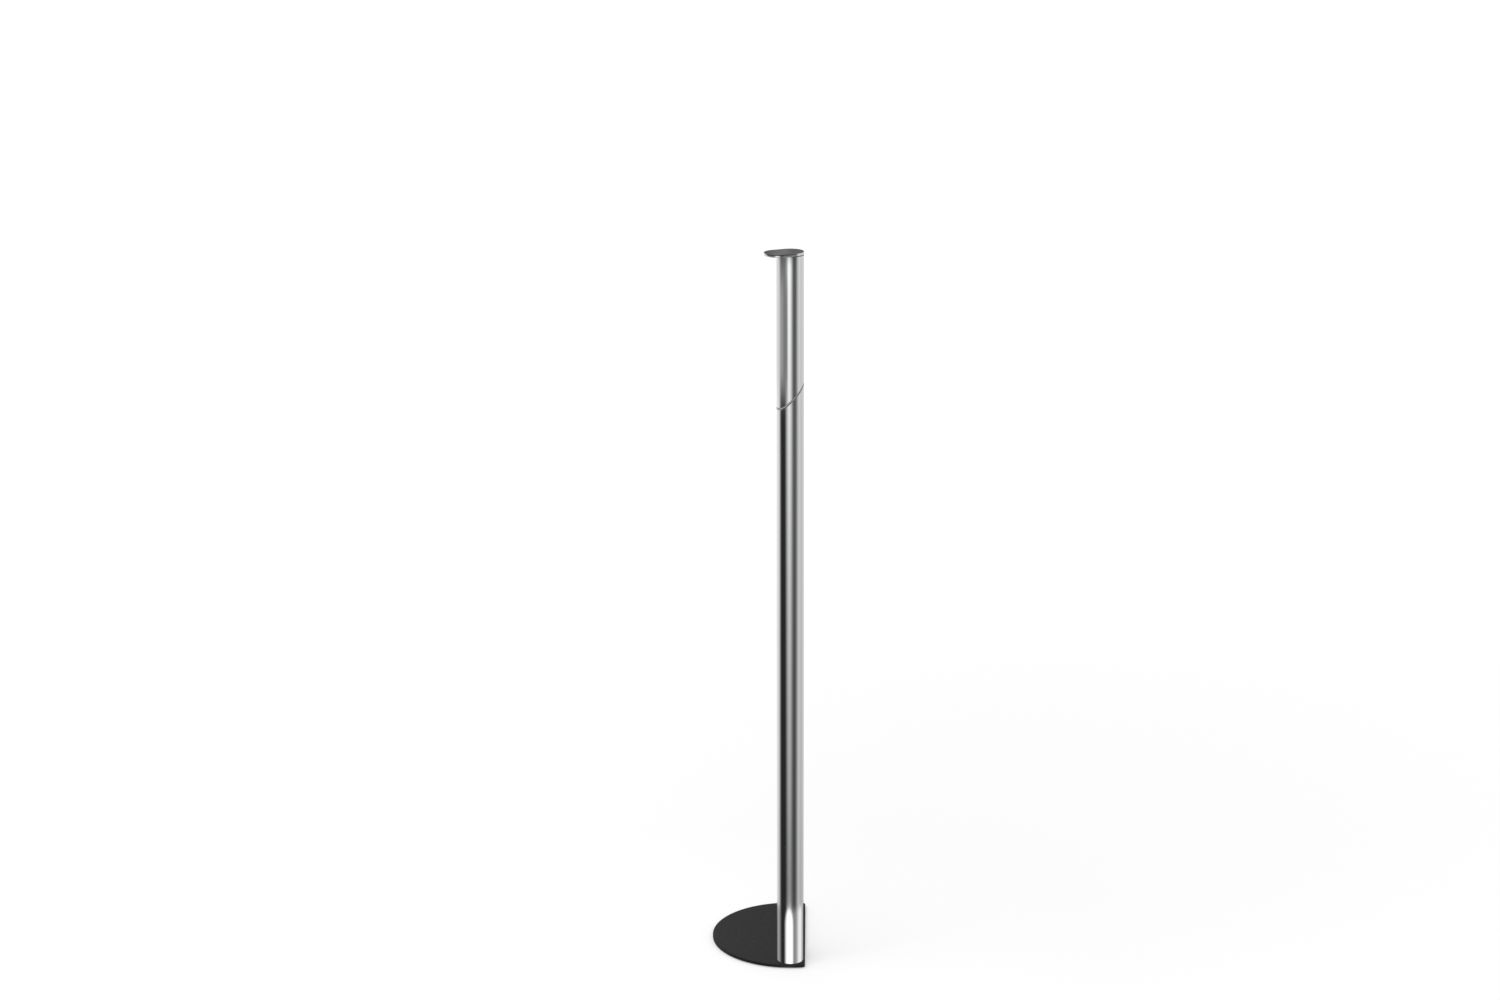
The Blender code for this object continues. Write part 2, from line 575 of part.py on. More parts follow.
def build_holder():
    """Whole holder, upright, with the arm at the start of its travel."""
    clear_scene()
    slant = (0, SEAM_SLANT, ARM_HEADING)
    post_frame = add_frame("post_frame", at=(0, POST_Y, PLATE_TOP))
    seam_frame = add_frame("seam_frame", post_frame, at=(0, 0, SEAM_HEIGHT))
    swivel_frame = add_frame("swivel_frame", seam_frame, turn=slant)
    arm_swivel = add_frame("arm_swivel", seam_frame, turn=slant)
    arm_frame = add_frame("arm_frame", arm_swivel)
    upright = Matrix.Rotation(ARM_HEADING, 4, "Z") @ Matrix.Rotation(SEAM_SLANT, 4, "Y")
    arm_frame.rotation_euler = upright.inverted().to_euler()

    make_plate(post_frame)
    make_pad(post_frame)
    make_base_screw(post_frame)
    make_foot_plug(post_frame)
    make_post(post_frame, seam_frame, swivel_frame)
    make_seam_washer(seam_frame, swivel_frame)
    make_swivel_bolt(swivel_frame)
    make_disc_springs(swivel_frame)
    make_stop_pin(swivel_frame)
    make_arm(arm_frame, arm_swivel)
    dowel_hole_cut = make_end_plug(arm_frame)
    make_cap(arm_frame, dowel_hole_cut)
    bpy.context.view_layer.update()


build_holder()
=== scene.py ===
"""Looks of a freestanding toilet paper holder: polished tube and end cap, powder-coated plate.

Metres, +Z up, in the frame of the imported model. The camera looks along +Y from 2.6 m away.
"""
import json
import math

import bmesh
import bpy
from mathutils import Matrix, Vector


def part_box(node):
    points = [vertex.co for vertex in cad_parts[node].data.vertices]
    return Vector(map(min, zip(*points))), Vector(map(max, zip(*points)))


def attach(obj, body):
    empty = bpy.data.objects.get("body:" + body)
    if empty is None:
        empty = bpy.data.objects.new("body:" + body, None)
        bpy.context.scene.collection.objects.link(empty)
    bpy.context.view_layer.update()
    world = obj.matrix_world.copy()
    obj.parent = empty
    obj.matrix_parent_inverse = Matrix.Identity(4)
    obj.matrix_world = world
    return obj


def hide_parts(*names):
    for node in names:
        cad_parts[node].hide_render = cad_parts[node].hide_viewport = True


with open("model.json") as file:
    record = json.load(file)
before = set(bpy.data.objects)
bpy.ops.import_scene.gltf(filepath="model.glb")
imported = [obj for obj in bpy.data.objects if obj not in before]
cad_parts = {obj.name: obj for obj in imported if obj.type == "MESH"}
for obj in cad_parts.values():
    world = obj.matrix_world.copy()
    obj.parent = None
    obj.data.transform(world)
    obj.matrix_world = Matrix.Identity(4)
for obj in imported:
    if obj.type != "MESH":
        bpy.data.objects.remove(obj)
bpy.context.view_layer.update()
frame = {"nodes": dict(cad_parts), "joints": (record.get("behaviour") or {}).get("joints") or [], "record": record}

MM = 0.001

# Sizes of the pieces that are made again here; places come from the frame
TUBE_DIAMETER = 25 * MM
TUBE_WALL = 1.2 * MM
TUBE_RIM_ROUND = 0.2 * MM
SEAM_RIM_ROUND = 0.45 * MM
SEAM_OPENING = 1.2 * MM
WASHER_THICKNESS = 0.6 * MM
WASHER_INSET = 0.1 * MM
WASHER_ROUND = 0.1 * MM
BOLT_HOLE_DIAMETER = 6.6 * MM
PIN_HOLE_DIAMETER = 3.1 * MM
PLATE_RADIUS = 75 * MM
PLATE_CORNER_ROUND = 3 * MM
PLATE_EDGE_ROUND = 0.6 * MM
PAD_INSET = 2.5 * MM
PAD_EDGE_ROUND = 0.1 * MM
SCREW_HOLE_GAP = 0.4 * MM
SCREW_SHANK_DIAMETER = 5 * MM
PAD_HOLE_MARGIN = 1.5 * MM
CAP_THICKNESS = 3 * MM
CAP_LIP_REACH = 12 * MM
CAP_EDGE_ROUND = 0.6 * MM
CAP_BOSS_DIAMETER = 12 * MM
CAP_SCREW_DIAMETER = 4 * MM
CAP_DOWEL_DIAMETER = 2.5 * MM
FIT_GAP = 0.3 * MM

# How far the cap and the plate stay inside the CAD box, and how far a cutter runs past what it cuts
BOX_MARGIN = 0.01 * MM
OVERRUN = 2 * MM

# Facets of a full turn, steps of a rounded edge and the rings that keep a surface true beside it
TUBE_FACETS = 192
HOLE_FACETS = 48
CORNER_FACETS = HOLE_FACETS // 4
ROUND_STEPS = 4
HOLDING_RING = 0.1 * MM
WALL_RINGS = 12
LONG_STRETCH = 10 * MM

# Points nearer than this become one, steeper edges stay sharp, and faces tilted less are a tube's true wall
MERGE_DISTANCE = 0.001 * MM
SHARP_ANGLE = math.radians(35)
WALL_TILT = math.radians(10)

# Frame: joint, seam and pieces
swivel = frame["joints"][0]
seam_centre = Vector(swivel["pos_m"])
seam_axis = Vector(swivel["axis"]).normalized()
SEAM_SLANT = math.acos(seam_axis.z)
SEAM_HEADING = math.atan2(seam_axis.y, seam_axis.x)
TUBE_RADIUS = TUBE_DIAMETER / 2
BORE_RADIUS = TUBE_RADIUS - TUBE_WALL
POST_AXIS = Vector((seam_centre.x, seam_centre.y, 0))
PLATE_STRAIGHT_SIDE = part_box("base_plate")[1].x

# Numbers of the Mix node's colour sockets, whose names its other sockets share
MIX_FIRST_COLOUR = 6
MIX_SECOND_COLOUR = 7
MIXED_COLOUR = 2


def linear(code):
    """Linear red, green, blue and alpha of a hex sRGB colour."""
    shares = [int(code[place:place + 2], 16) / 255 for place in (1, 3, 5)]
    linears = [((share + 0.055) / 1.055) ** 2.4 if share > 0.04045 else share / 12.92 for share in shares]
    return linears + [1.0]


def node(tree, kind, settings=None, inputs=None):
    """Adds a node. Settings are its properties; each input takes a value or another node's output."""
    made = tree.nodes.new(kind)
    for name, value in (settings or {}).items():
        setattr(made, name, value)
    for name, value in (inputs or {}).items():
        if isinstance(value, bpy.types.NodeSocket):
            tree.links.new(value, made.inputs[name])
        else:
            made.inputs[name].default_value = value
    return made


def new_finish(name, constants):
    """New material, with constants on its shader's sockets, then its tree and its object coordinates."""
    material = bpy.data.materials.new(name)
    material.use_nodes = True
    tree = material.node_tree
    for socket, value in constants.items():
        tree.nodes["Principled BSDF"].inputs[socket].default_value = value
    place = node(tree, "ShaderNodeTexCoord").outputs["Object"]
    return material, tree, place


def dress(tree, share, first, second, roughness, normal):
    """Gives the shader a colour between two hex values, by a 0 to 1 share, and its roughness and bumps."""
    colour = node(tree, "ShaderNodeMix", {"data_type": "RGBA"}, {
        "Factor": share, MIX_FIRST_COLOUR: linear(first), MIX_SECOND_COLOUR: linear(second)})
    shader = tree.nodes["Principled BSDF"]
    tree.links.new(colour.outputs[MIXED_COLOUR], shader.inputs["Base Color"])
    tree.links.new(roughness, shader.inputs["Roughness"])
    tree.links.new(normal, shader.inputs["Normal"])


def mirror_polished_stainless():
    """Drawn stainless tube, buffed to a mirror: clear streaks of the room, faint lines along the tube."""
    # Real buffing lines are about 0.02 mm wide; these are drawn 0.3 mm wide, so that they show
    line_width = 0.3 * MM
    line_length = 30 * MM
    haze_size = 25 * MM
    material, tree, place = new_finish("mirror_polished_stainless", {"Metallic": 1.0})
    along = node(tree, "ShaderNodeMapping", None, {
        "Vector": place, "Scale": (1 / line_width, 1 / line_width, 1 / line_length)})
    lines = node(tree, "ShaderNodeTexNoise", None, {
        "Vector": along.outputs["Vector"], "Scale": 1.0, "Detail": 3.0, "Roughness": 0.6})
    haze = node(tree, "ShaderNodeTexNoise", None, {
        "Vector": place, "Scale": 1 / haze_size, "Detail": 2.0, "Roughness": 0.5})
    dull = node(tree, "ShaderNodeMapRange", None, {
        "Value": haze.outputs["Fac"], "From Min": 0.35, "From Max": 0.7, "To Min": 0.0, "To Max": 0.03})
    rough = node(tree, "ShaderNodeMapRange", None, {
        "Value": lines.outputs["Fac"], "From Min": 0.3, "From Max": 0.7, "To Min": 0.07, "To Max": 0.11})
    total = node(tree, "ShaderNodeMath", {"operation": "ADD"}, {
        0: rough.outputs["Result"], 1: dull.outputs["Result"]})
    bump = node(tree, "ShaderNodeBump", None, {
        "Height": lines.outputs["Fac"], "Strength": 0.05, "Distance": 0.01 * MM})
    dress(tree, haze.outputs["Fac"], "#DEDFE0", "#E3E3E2", total.outputs["Value"], bump.outputs["Normal"])
    return material


def buffed_stainless_cap():
    """Cast stainless cap, ground flat and buffed: a clear mirror that waves a little on its flat top."""
    wave_size = 7 * MM
    # Real buffing lines are about 0.02 mm wide; these are drawn 0.25 mm wide, so that they show
    line_width = 0.25 * MM
    line_length = 20 * MM
    material, tree, place = new_finish("buffed_stainless_cap", {"Metallic": 1.0})
    wave = node(tree, "ShaderNodeTexNoise", None, {
        "Vector": place, "Scale": 1 / wave_size, "Detail": 2.0, "Roughness": 0.5})
    across = node(tree, "ShaderNodeMapping", {"vector_type": "TEXTURE"}, {
        "Vector": place, "Rotation": (0, 0, SEAM_HEADING), "Scale": (line_length, line_width, line_length)})
    lines = node(tree, "ShaderNodeTexNoise", None, {
        "Vector": across.outputs["Vector"], "Scale": 1.0, "Detail": 3.0, "Roughness": 0.6})
    rough = node(tree, "ShaderNodeMapRange", None, {
        "Value": lines.outputs["Fac"], "From Min": 0.3, "From Max": 0.7, "To Min": 0.06, "To Max": 0.1})
    wave_bump = node(tree, "ShaderNodeBump", None, {
        "Height": wave.outputs["Fac"], "Strength": 0.06, "Distance": 0.05 * MM})
    bump = node(tree, "ShaderNodeBump", None, {
        "Height": lines.outputs["Fac"], "Strength": 0.05, "Distance": 0.01 * MM,
        "Normal": wave_bump.outputs["Normal"]})
    dress(tree, wave.outputs["Fac"], "#DBDCDD", "#E2E2E1", rough.outputs["Result"], bump.outputs["Normal"])
    return material


def matt_powder_coat():
    """Black polyester powder baked on steel: matt charcoal with a fine peel and tiny paler grains."""
    peel_size = 1.4 * MM
    # A real grain of powder is about 0.05 mm; these are drawn 0.35 mm wide, so that they show
    grain_size = 0.35 * MM
    material, tree, place = new_finish("matt_powder_coat", {"Metallic": 0.0, "Specular IOR Level": 0.25})
    peel = node(tree, "ShaderNodeTexNoise", None, {
        "Vector": place, "Scale": 1 / peel_size, "Detail": 2.0, "Roughness": 0.5})
    grain = node(tree, "ShaderNodeTexNoise", None, {
        "Vector": place, "Scale": 1 / grain_size, "Detail": 2.0, "Roughness": 0.6})
    speck = node(tree, "ShaderNodeMapRange", None, {
        "Value": grain.outputs["Fac"], "From Min": 0.35, "From Max": 0.75, "To Min": 0.0, "To Max": 1.0})
    rough = node(tree, "ShaderNodeMapRange", None, {
        "Value": peel.outputs["Fac"], "From Min": 0.3, "From Max": 0.7, "To Min": 0.55, "To Max": 0.7})
    peel_bump = node(tree, "ShaderNodeBump", None, {
        "Height": peel.outputs["Fac"], "Strength": 0.25, "Distance": 0.06 * MM})
    bump = node(tree, "ShaderNodeBump", None, {
        "Height": grain.outputs["Fac"], "Strength": 0.3, "Distance": 0.03 * MM,
        "Normal": peel_bump.outputs["Normal"]})
    dress(tree, speck.outputs["Result"], "#1C1C1C", "#252525", rough.outputs["Result"],
          bump.outputs["Normal"])
    return material


def calendered_rubber():
    """Sheet rubber with a cut edge: dull near-black, darker in the low spots of its grain and paler on its raised
    ones.
    """
    # The sheet's real grain is about 0.1 mm; it is drawn 0.5 mm wide, so that it shows
    grain_size = 0.5 * MM
    material, tree, place = new_finish("calendered_rubber", {"Metallic": 0.0, "Specular IOR Level": 0.3})
    grain = node(tree, "ShaderNodeTexNoise", None, {
        "Vector": place, "Scale": 1 / grain_size, "Detail": 3.0, "Roughness": 0.6})
    rough = node(tree, "ShaderNodeMapRange", None, {
        "Value": grain.outputs["Fac"], "From Min": 0.3, "From Max": 0.7, "To Min": 0.75, "To Max": 0.92})
    bump = node(tree, "ShaderNodeBump", None, {
        "Height": grain.outputs["Fac"], "Strength": 0.4, "Distance": 0.05 * MM})
    dress(tree, grain.outputs["Fac"], "#191919", "#242423", rough.outputs["Result"], bump.outputs["Normal"])
    return material


def skived_acetal():
    """Acetal sheet, cut and faced: a soft waxy grey with hair-fine tool marks."""
    # Real tool marks are about 0.05 mm apart; these are drawn 0.4 mm apart, so that they show
    mark_size = 0.4 * MM
    material, tree, place = new_finish("skived_acetal", {"Metallic": 0.0, "Specular IOR Level": 0.45})
    marks = node(tree, "ShaderNodeTexNoise", None, {
        "Vector": place, "Scale": 1 / mark_size, "Detail": 2.0, "Roughness": 0.5})
    rough = node(tree, "ShaderNodeMapRange", None, {
        "Value": marks.outputs["Fac"], "From Min": 0.3, "From Max": 0.7, "To Min": 0.4, "To Max": 0.55})
    bump = node(tree, "ShaderNodeBump", None, {
        "Height": marks.outputs["Fac"], "Strength": 0.2, "Distance": 0.01 * MM})
    dress(tree, marks.outputs["Fac"], "#A4A4A4", "#B0B0B0", rough.outputs["Result"], bump.outputs["Normal"])
    return material


def machined_metal(name, colours, roughness, mark_size, metallic=1.0):
    """Inner steel part as it leaves the machine: its marks catch the light unevenly."""
    material, tree, place = new_finish(name, {"Metallic": metallic})
    marks = node(tree, "ShaderNodeTexNoise", None, {
        "Vector": place, "Scale": 1 / mark_size, "Detail": 4.0, "Roughness": 0.6, "Distortion": 0.4})
    rough = node(tree, "ShaderNodeMapRange", None, {
        "Value": marks.outputs["Fac"], "From Min": 0.3, "From Max": 0.7,
        "To Min": roughness[0], "To Max": roughness[1]})
    bump = node(tree, "ShaderNodeBump", None, {
        "Height": marks.outputs["Fac"], "Strength": 0.2, "Distance": 0.02 * MM})
    dress(tree, marks.outputs["Fac"], *colours, rough.outputs["Result"], bump.outputs["Normal"])
    return material


def turning_tree():
    """Geometry Nodes that turn a profile about Z and lean its mitred end along the seam.

    A profile point holds its radius in X, its height in Z and in Y how far it follows the slant, 0 to 1.
    """
    tree = bpy.data.node_groups.new("turned_and_mitred", "GeometryNodeTree")
    tree.interface.new_socket("Piece", in_out="OUTPUT", socket_type="NodeSocketGeometry")
    kinds = {"Profile": "Geometry", "Facets": "Int", "Slant": "Float", "Heading": "Float",
             "Centre": "Vector", "Finish": "Material"}
    sockets = {}
    for name, kind in kinds.items():
        made = tree.interface.new_socket(name, in_out="INPUT", socket_type="NodeSocket" + kind)
        sockets[name] = made.identifier
    given = node(tree, "NodeGroupInput").outputs

    count = node(tree, "GeometryNodeAttributeDomainSize", {"component": "MESH"}, {
        "Geometry": given["Profile"]})
    point = node(tree, "GeometryNodeSampleIndex", {"data_type": "FLOAT_VECTOR", "domain": "POINT"}, {
        "Geometry": given["Profile"], "Value": node(tree, "GeometryNodeInputPosition").outputs["Position"]})
    part = node(tree, "ShaderNodeSeparateXYZ", None, {"Vector": point.outputs["Value"]})

    # The sheet's columns run round the piece and its rows along the profile
    values = {
        "facets": given["Facets"],
        "slant": given["Slant"],
        "heading": given["Heading"],
        "rows": count.outputs["Point Count"],
        "index": node(tree, "GeometryNodeInputIndex").outputs["Index"],
        "radius": part.outputs["X"],
        "follow": part.outputs["Y"],
        "height": part.outputs["Z"],
    }
    # Each sum is a name, an operation and its terms
    sums = (
        ("columns", "ADD", "facets", 1.0),
        ("row", "MODULO", "index", "rows"),
        ("passed", "DIVIDE", "index", "rows"),
        ("column", "FLOOR", "passed"),
        ("step", "DIVIDE", math.tau, "facets"),
        ("angle", "MULTIPLY", "column", "step"),
        ("cosine", "COSINE", "angle"),
        ("sine", "SINE", "angle"),
        ("x", "MULTIPLY", "radius", "cosine"),
        ("y", "MULTIPLY", "radius", "sine"),
        ("away", "SUBTRACT", "angle", "heading"),
        ("facing", "COSINE", "away"),
        ("steep", "TANGENT", "slant"),
        ("reach", "MULTIPLY", "radius", "facing"),
        ("fall", "MULTIPLY", "reach", "steep"),
        ("lean", "MULTIPLY", "fall", "follow"),
        ("z", "SUBTRACT", "height", "lean"),
    )
    for name, operation, *terms in sums:
        inputs = {place: values.get(term, term) for place, term in enumerate(terms)}
        values[name] = node(tree, "ShaderNodeMath", {"operation": operation}, inputs).outputs["Value"]
    tree.links.new(values["row"], point.inputs["Index"])

    sheet = node(tree, "GeometryNodeMeshGrid", None, {
        "Vertices X": values["columns"], "Vertices Y": values["rows"]})
    corner = node(tree, "ShaderNodeCombineXYZ", None, {
        "X": values["x"], "Y": values["y"], "Z": values["z"]})
    placed = node(tree, "ShaderNodeVectorMath", {"operation": "ADD"}, {
        0: corner.outputs["Vector"], 1: given["Centre"]})
    turned = node(tree, "GeometryNodeSetPosition", None, {
        "Geometry": sheet.outputs["Mesh"], "Position": placed.outputs["Vector"]})
    closed = node(tree, "GeometryNodeMergeByDistance", None, {
        "Geometry": turned.outputs["Geometry"], "Distance": MERGE_DISTANCE})
    real = node(tree, "GeometryNodeRealizeInstances", None, {"Geometry": closed.outputs["Geometry"]})
    finished = node(tree, "GeometryNodeSetMaterial", None, {
        "Geometry": real.outputs["Geometry"], "Material": given["Finish"]})
    node(tree, "NodeGroupOutput", None, {"Piece": finished.outputs["Geometry"]})
    return tree, sockets


turning, turning_sockets = turning_tree()


def rounded_profile(corners, rings=1):
    """Closed profile of (radius, follow, height) points with its corners rounded.

    A corner is (radius, follow, height, round). Small rings beside each round keep the faces next to it
    straight, and a long stretch is split into the given number of rings.
    """
    in_section = Vector((1, 0, 1))
    points = []
    for place, (*here, size) in enumerate(corners):
        here = Vector(here)
        if not size:
            points.append(here)
            continue
        before = Vector(corners[place - 1][:3])
        after = Vector(corners[(place + 1) % len(corners)][:3])
        back = ((before - here) * in_section).normalized()
        on = ((after - here) * in_section).normalized()
        centre = here + (back + on) * size
        points.append(here + back * (size + HOLDING_RING))
        for step in range(ROUND_STEPS + 1):
            turn = math.pi / 2 * step / ROUND_STEPS
            points.append(centre - (on * math.cos(turn) + back * math.sin(turn)) * size)
        points.append(here + on * (size + HOLDING_RING))
    points.append(points[0])
    spaced = [points[0]]
    for start, end in zip(points, points[1:]):
        steps = rings if (end - start).length > LONG_STRETCH else 1
        spaced += [start.lerp(end, (step + 1) / steps) for step in range(steps)]
    return spaced


def plain_profile(points):
    """Profile of sharp (radius, height) points that starts and ends on the axis."""
    return [Vector((radius, 0, height)) for radius, height in points]


def add_object(name, mesh):
    """Object in the scene for a mesh."""
    made = bpy.data.objects.new(name, mesh)
    bpy.context.scene.collection.objects.link(made)
    return made


def settle(piece):
    """Turns a piece with its modifiers into a plain mesh, faces outwards."""
    shown = piece.evaluated_get(bpy.context.evaluated_depsgraph_get())
    mesh = bpy.data.meshes.new_from_object(shown)
    piece.modifiers.clear()
    piece.data = mesh
    shape = bmesh.new()
    shape.from_mesh(mesh)
    bmesh.ops.remove_doubles(shape, verts=shape.verts, dist=MERGE_DISTANCE)
    bmesh.ops.recalc_face_normals(shape, faces=shape.faces)
    shape.to_mesh(mesh)
    shape.free()
    mesh.name = piece.name
    mesh.shade_smooth()
    mesh.set_sharp_from_angle(angle=SHARP_ANGLE)
    return piece


def turned_piece(name, profile, finish=None, centre=(0, 0, 0), slant=0.0, heading=0.0, facets=TUBE_FACETS):
    """Piece turned from a profile by the Geometry Nodes tree."""
    mesh = bpy.data.meshes.new(name)
    mesh.from_pydata(profile, [(place, place + 1) for place in range(len(profile) - 1)], [])
    piece = add_object(name, mesh)
    modifier = piece.modifiers.new("turning", "NODES")
    modifier.node_group = turning
    values = {"Facets": facets, "Slant": slant, "Heading": heading, "Centre": centre, "Finish": finish}
    for socket, value in values.items():
        modifier[turning_sockets[socket]] = value
    return settle(piece)


def combine(piece, operation, *others):
    """Joins others to a piece or takes them out of it, and deletes them."""
    for other in others:
        modifier = piece.modifiers.new(other.name, "BOOLEAN")
        modifier.operation = operation
        modifier.solver = "EXACT"
        modifier.object = other
    settle(piece)
    for other in others:
        bpy.data.objects.remove(other)


def rod_cutter(name, radius, low, high, matrix):
    """Round cutter along its own Z, put in place by a matrix."""
    profile = plain_profile([(0, low), (radius, low), (radius, high), (0, high)])
    cutter = turned_piece(name, profile, facets=HOLE_FACETS)
    cutter.data.transform(matrix)
    return cutter


def straighten_wall(piece, axis, radius):
    """Gives a drilled tube's wall a true cylinder's normals, so that a hole doesn't bend its streaks."""
    mesh = piece.data
    normals = [Vector(corner.vector) for corner in mesh.corner_normals]
    for face in mesh.polygons:
        for loop in face.loop_indices:
            point = mesh.vertices[mesh.loops[loop].vertex_index].co
            out = Vector((point.x - axis.x, point.y - axis.y, 0))
            on_wall = abs(out.length - radius) < HOLDING_RING / 2
            out.normalize()
            if on_wall and face.normal.dot(out) > math.cos(WALL_TILT):
                normals[loop] = out
    mesh.normals_split_custom_set(normals)


def grub_hole(node_name):
    """Cutter for the hole over a grub screw at the back of a tube."""
    low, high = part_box(node_name)
    middle = (low + high) / 2
    radius = (high.z - low.z) / 2 + FIT_GAP
    heading = math.atan2(middle.y - POST_AXIS.y, middle.x - POST_AXIS.x)
    place = Matrix.Translation((POST_AXIS.x, POST_AXIS.y, middle.z))
    turn = Matrix.Rotation(heading, 4, "Z") @ Matrix.Rotation(math.pi / 2, 4, "Y")
    near, far = BORE_RADIUS - OVERRUN, TUBE_RADIUS + OVERRUN
    return rod_cutter(node_name + "_hole", radius, near, far, place @ turn)


def make_tubes(finish):
    """Post and arm: one polished tube, cut at the slanted seam."""
    half_opening = SEAM_OPENING / 2 / math.cos(SEAM_SLANT)
    # An end is its height, how far it follows the slant and the round of its outer rim
    foot = (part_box("post_tube")[0].z, 0, TUBE_RIM_ROUND)
    below_seam = (seam_centre.z - half_opening, 1, SEAM_RIM_ROUND)
    above_seam = (seam_centre.z + half_opening, 1, SEAM_RIM_ROUND)
    tip = (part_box("arm_tube")[1].z, 0, TUBE_RIM_ROUND)
    tubes = (
        ("post_tube_polished", "post_tube", "stand", foot, below_seam, "post_grub_screw"),
        ("arm_tube_polished", "arm_tube", "arm", above_seam, tip, "arm_grub_screw"),
    )
    for name, cad_node, body, (low, low_follow, low_round), (high, high_follow, high_round), screw in tubes:
        corners = [
            (TUBE_RADIUS, low_follow, low, low_round),
            (TUBE_RADIUS, high_follow, high, high_round),
            (BORE_RADIUS, high_follow, high, TUBE_RIM_ROUND),
            (BORE_RADIUS, low_follow, low, TUBE_RIM_ROUND),
        ]
        profile = rounded_profile(corners, WALL_RINGS)
        tube = turned_piece(name, profile, finish, POST_AXIS, SEAM_SLANT, SEAM_HEADING)
        combine(tube, "DIFFERENCE", grub_hole(screw))
        straighten_wall(tube, POST_AXIS, TUBE_RADIUS)
        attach(tube, body)
        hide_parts(cad_node)


def make_seam_washer(finish):
    """Thin slanted slice between the two tubes, bored for the bolt and the stop pin."""
    half = WASHER_THICKNESS / 2 / math.cos(SEAM_SLANT)
    outer = TUBE_RADIUS - WASHER_INSET
    inner = BOLT_HOLE_DIAMETER / 2
    corners = [
        (outer, 1, seam_centre.z - half, WASHER_ROUND),
        (outer, 1, seam_centre.z + half, WASHER_ROUND),
        (inner, 1, seam_centre.z + half, 0),
        (inner, 1, seam_centre.z - half, 0),
    ]
    profile = rounded_profile(corners)
    washer = turned_piece("seam_washer_skived", profile, finish, POST_AXIS, SEAM_SLANT, SEAM_HEADING)
    low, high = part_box("stop_pin")
    along = Matrix.Translation((low + high) / 2) @ seam_axis.to_track_quat("Z", "Y").to_matrix().to_4x4()
    pin_hole = rod_cutter("pin_hole", PIN_HOLE_DIAMETER / 2, -TUBE_RADIUS, TUBE_RADIUS, along)
    combine(washer, "DIFFERENCE", pin_hole)
    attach(washer, "stand")
    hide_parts("seam_washer")


def arc(centre, radius, start, end, facets):
    """Points along an arc, from start to end."""
    angles = [start + (end - start) * step / facets for step in range(facets + 1)]
    return [(centre[0] + radius * math.cos(a), centre[1] + radius * math.sin(a)) for a in angles]


def plate_outline(inset):
    """Disc with one straight side, and a small round at both corners."""
    inset += BOX_MARGIN
    corner_x = PLATE_STRAIGHT_SIDE - PLATE_CORNER_ROUND
    corner_y = math.sqrt((PLATE_RADIUS - PLATE_CORNER_ROUND) ** 2 - corner_x ** 2)
    heading = math.atan2(corner_y, corner_x)
    radius = PLATE_CORNER_ROUND - inset
    points = arc((corner_x, -corner_y), radius, -heading, 0, CORNER_FACETS)
    points += arc((corner_x, corner_y), radius, 0, heading, CORNER_FACETS)
    rim = arc((0, 0), PLATE_RADIUS - inset, heading, math.tau - heading, TUBE_FACETS)
    return points + rim[1:-1]


def cap_outline(inset):
    """Obround as wide as the tube: one end follows the tube, the other is the lip."""
    radius = TUBE_RADIUS - BOX_MARGIN - inset
    lip = POST_AXIS + CAP_LIP_REACH * Vector((math.cos(SEAM_HEADING), math.sin(SEAM_HEADING), 0))
    side = SEAM_HEADING + math.pi / 2
    tube_end = arc(POST_AXIS, radius, side, side + math.pi, TUBE_FACETS // 2)
    lip_end = arc(lip, radius, side + math.pi, side + math.tau, TUBE_FACETS // 2)
    return tube_end + lip_end


def stacked_piece(name, outline, levels, finish):
    """Solid lofted through copies of an outline, each level an (inset, height)."""
    shape = bmesh.new()
    rings = [[shape.verts.new((x, y, height)) for x, y in outline(inset)] for inset, height in levels]
    for lower, upper in zip(rings, rings[1:]):
        for place in range(len(lower)):
            shape.faces.new((lower[place - 1], lower[place], upper[place], upper[place - 1]))
    shape.faces.new(rings[0][::-1])
    shape.faces.new(rings[-1])
    mesh = bpy.data.meshes.new(name)
    shape.to_mesh(mesh)
    shape.free()
    mesh.materials.append(finish)
    return settle(add_object(name, mesh))


def edge_levels(low, high, size, inset=0.0):
    """Levels of a slab with both its rims rounded, held flat beside the rounds."""
    turns = [math.pi / 2 * step / ROUND_STEPS for step in range(ROUND_STEPS + 1)]
    lower = [(inset + size * (1 - math.sin(turn)), low + size * (1 - math.cos(turn))) for turn in turns]
    upper = [(offset, low + high - height) for offset, height in reversed(lower)]
    held = inset + size + HOLDING_RING
    return [(held, low), *lower, *upper, (held, high)]


def make_cap(finish):
    """Flat cap with soft edges, whose lip keeps the roll on, and the boss that seats it in the arm."""
    box_low, box_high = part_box("end_cap")
    low = box_high.z - CAP_THICKNESS
    cap = stacked_piece("end_cap_buffed", cap_outline, edge_levels(low, box_high.z, CAP_EDGE_ROUND), finish)
    boss_radius = CAP_BOSS_DIAMETER / 2
    boss_top = low + CAP_THICKNESS / 2
    boss_points = [(0, box_low.z), (boss_radius, box_low.z), (boss_radius, boss_top), (0, boss_top)]
    boss = turned_piece("cap_boss", plain_profile(boss_points), finish, POST_AXIS, facets=HOLE_FACETS)
    combine(cap, "UNION", boss)
    for cad_node, diameter in (("cap_screw", CAP_SCREW_DIAMETER), ("cap_dowel", CAP_DOWEL_DIAMETER)):
        hole_low, hole_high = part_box(cad_node)
        middle = (hole_low + hole_high) / 2
        place = Matrix.Translation((middle.x, middle.y, 0))
        radius = diameter / 2 + FIT_GAP
        hole = rod_cutter(cad_node + "_hole", radius, box_low.z - OVERRUN, hole_high.z + FIT_GAP, place)
        combine(cap, "DIFFERENCE", hole)
    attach(cap, "arm")
    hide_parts("end_cap")


